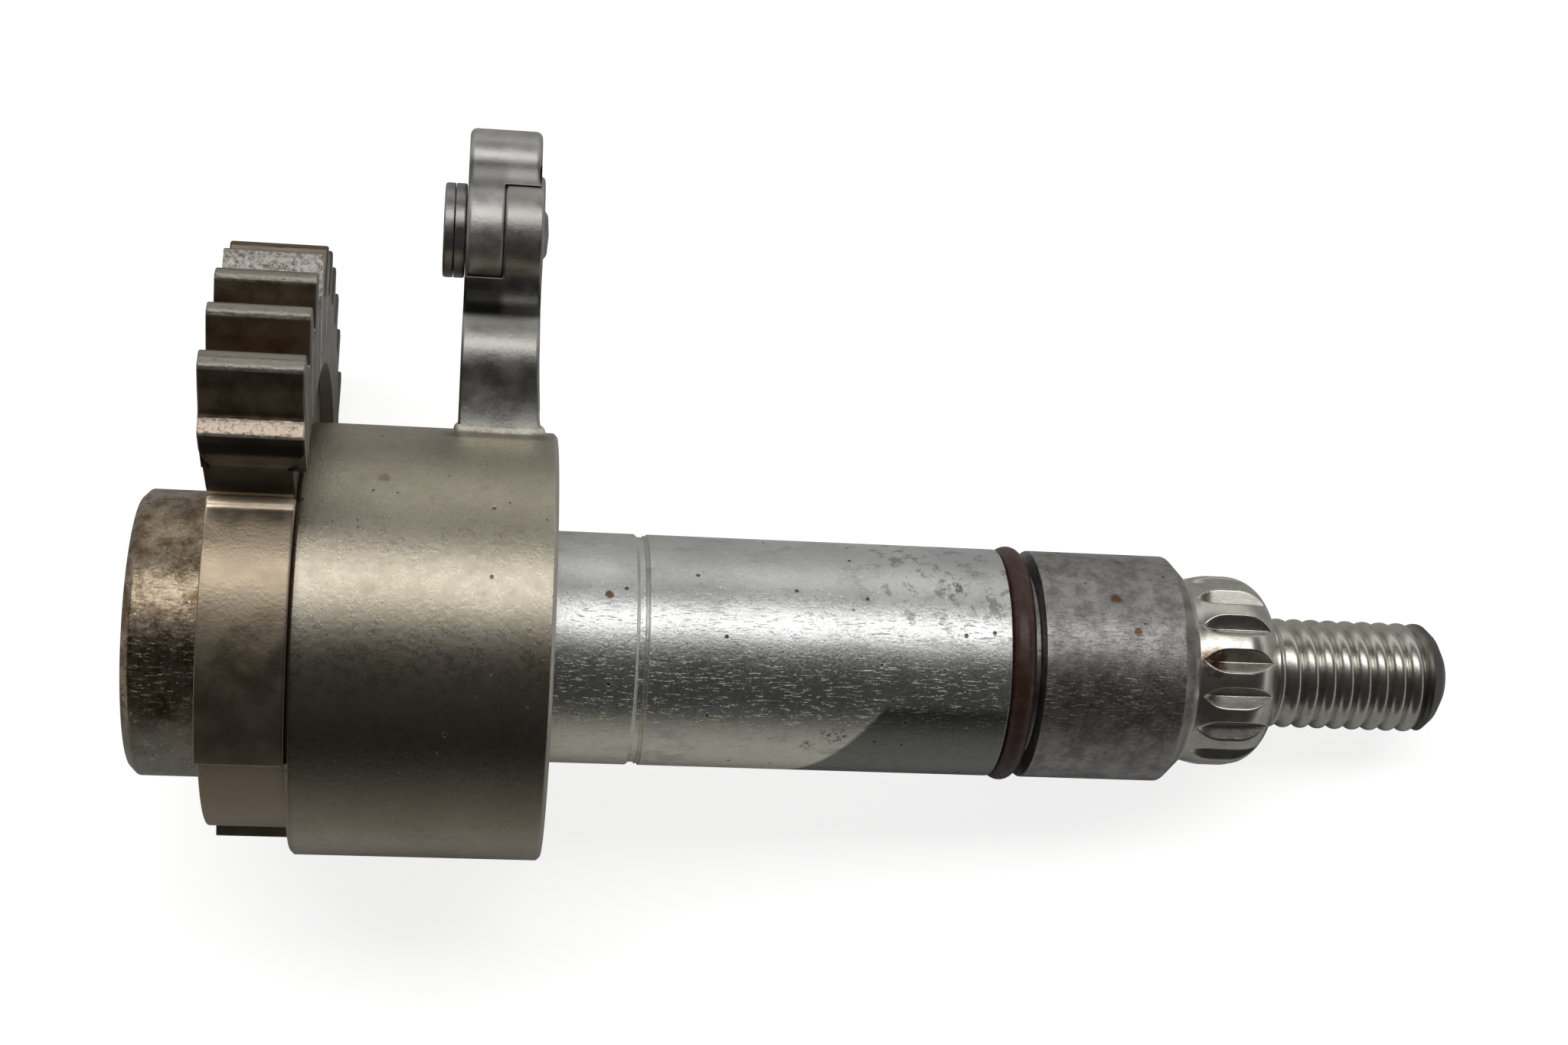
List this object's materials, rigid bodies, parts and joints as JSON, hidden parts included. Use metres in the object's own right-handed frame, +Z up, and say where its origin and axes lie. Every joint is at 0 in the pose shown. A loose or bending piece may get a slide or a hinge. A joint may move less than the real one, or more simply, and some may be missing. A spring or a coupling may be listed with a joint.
{
  "type": "shift shaft",
  "caption": "Plated gear-shift shaft with a toothed sector, a drum carrying a short lever with a riveted link, a seal ring, a serrated shoulder and a threaded stud.",
  "frame": {"origin": "middle of the bounding box's foot, on the surface that the part lies on", "axes": "+X from the journal head to the threaded stud, seen from above; +Y the way the lever points; +Z up. The shaft leans 8.77 degrees down towards the stud."},
  "size_m": [0.1294, 0.0704, 0.0548],
  "materials": {
    "plated_steel": "satin",
    "seal_rubber": "satin",
    "cast_sector": "satin",
    "forged_drum": "satin",
    "bare_steel": "satin"
  },
  "bodies": {
    "shaft_assembly": {"shaft": "plated_steel", "o_ring": "seal_rubber", "sector_lever": "cast_sector", "lever_drum": "forged_drum", "rivet_pin": "bare_steel", "pin_washer": "bare_steel"},
    "link_body": {"link": "bare_steel"}
  },
  "joints": [
    {"name": "link_pivot", "type": "hinge", "parent": "shaft_assembly", "child": "link_body", "pos_m": [-0.03221, 0.02491, 0.02296], "axis": [0.9883, 0, -0.1525], "range_deg": [-90, 90]}
  ]
}
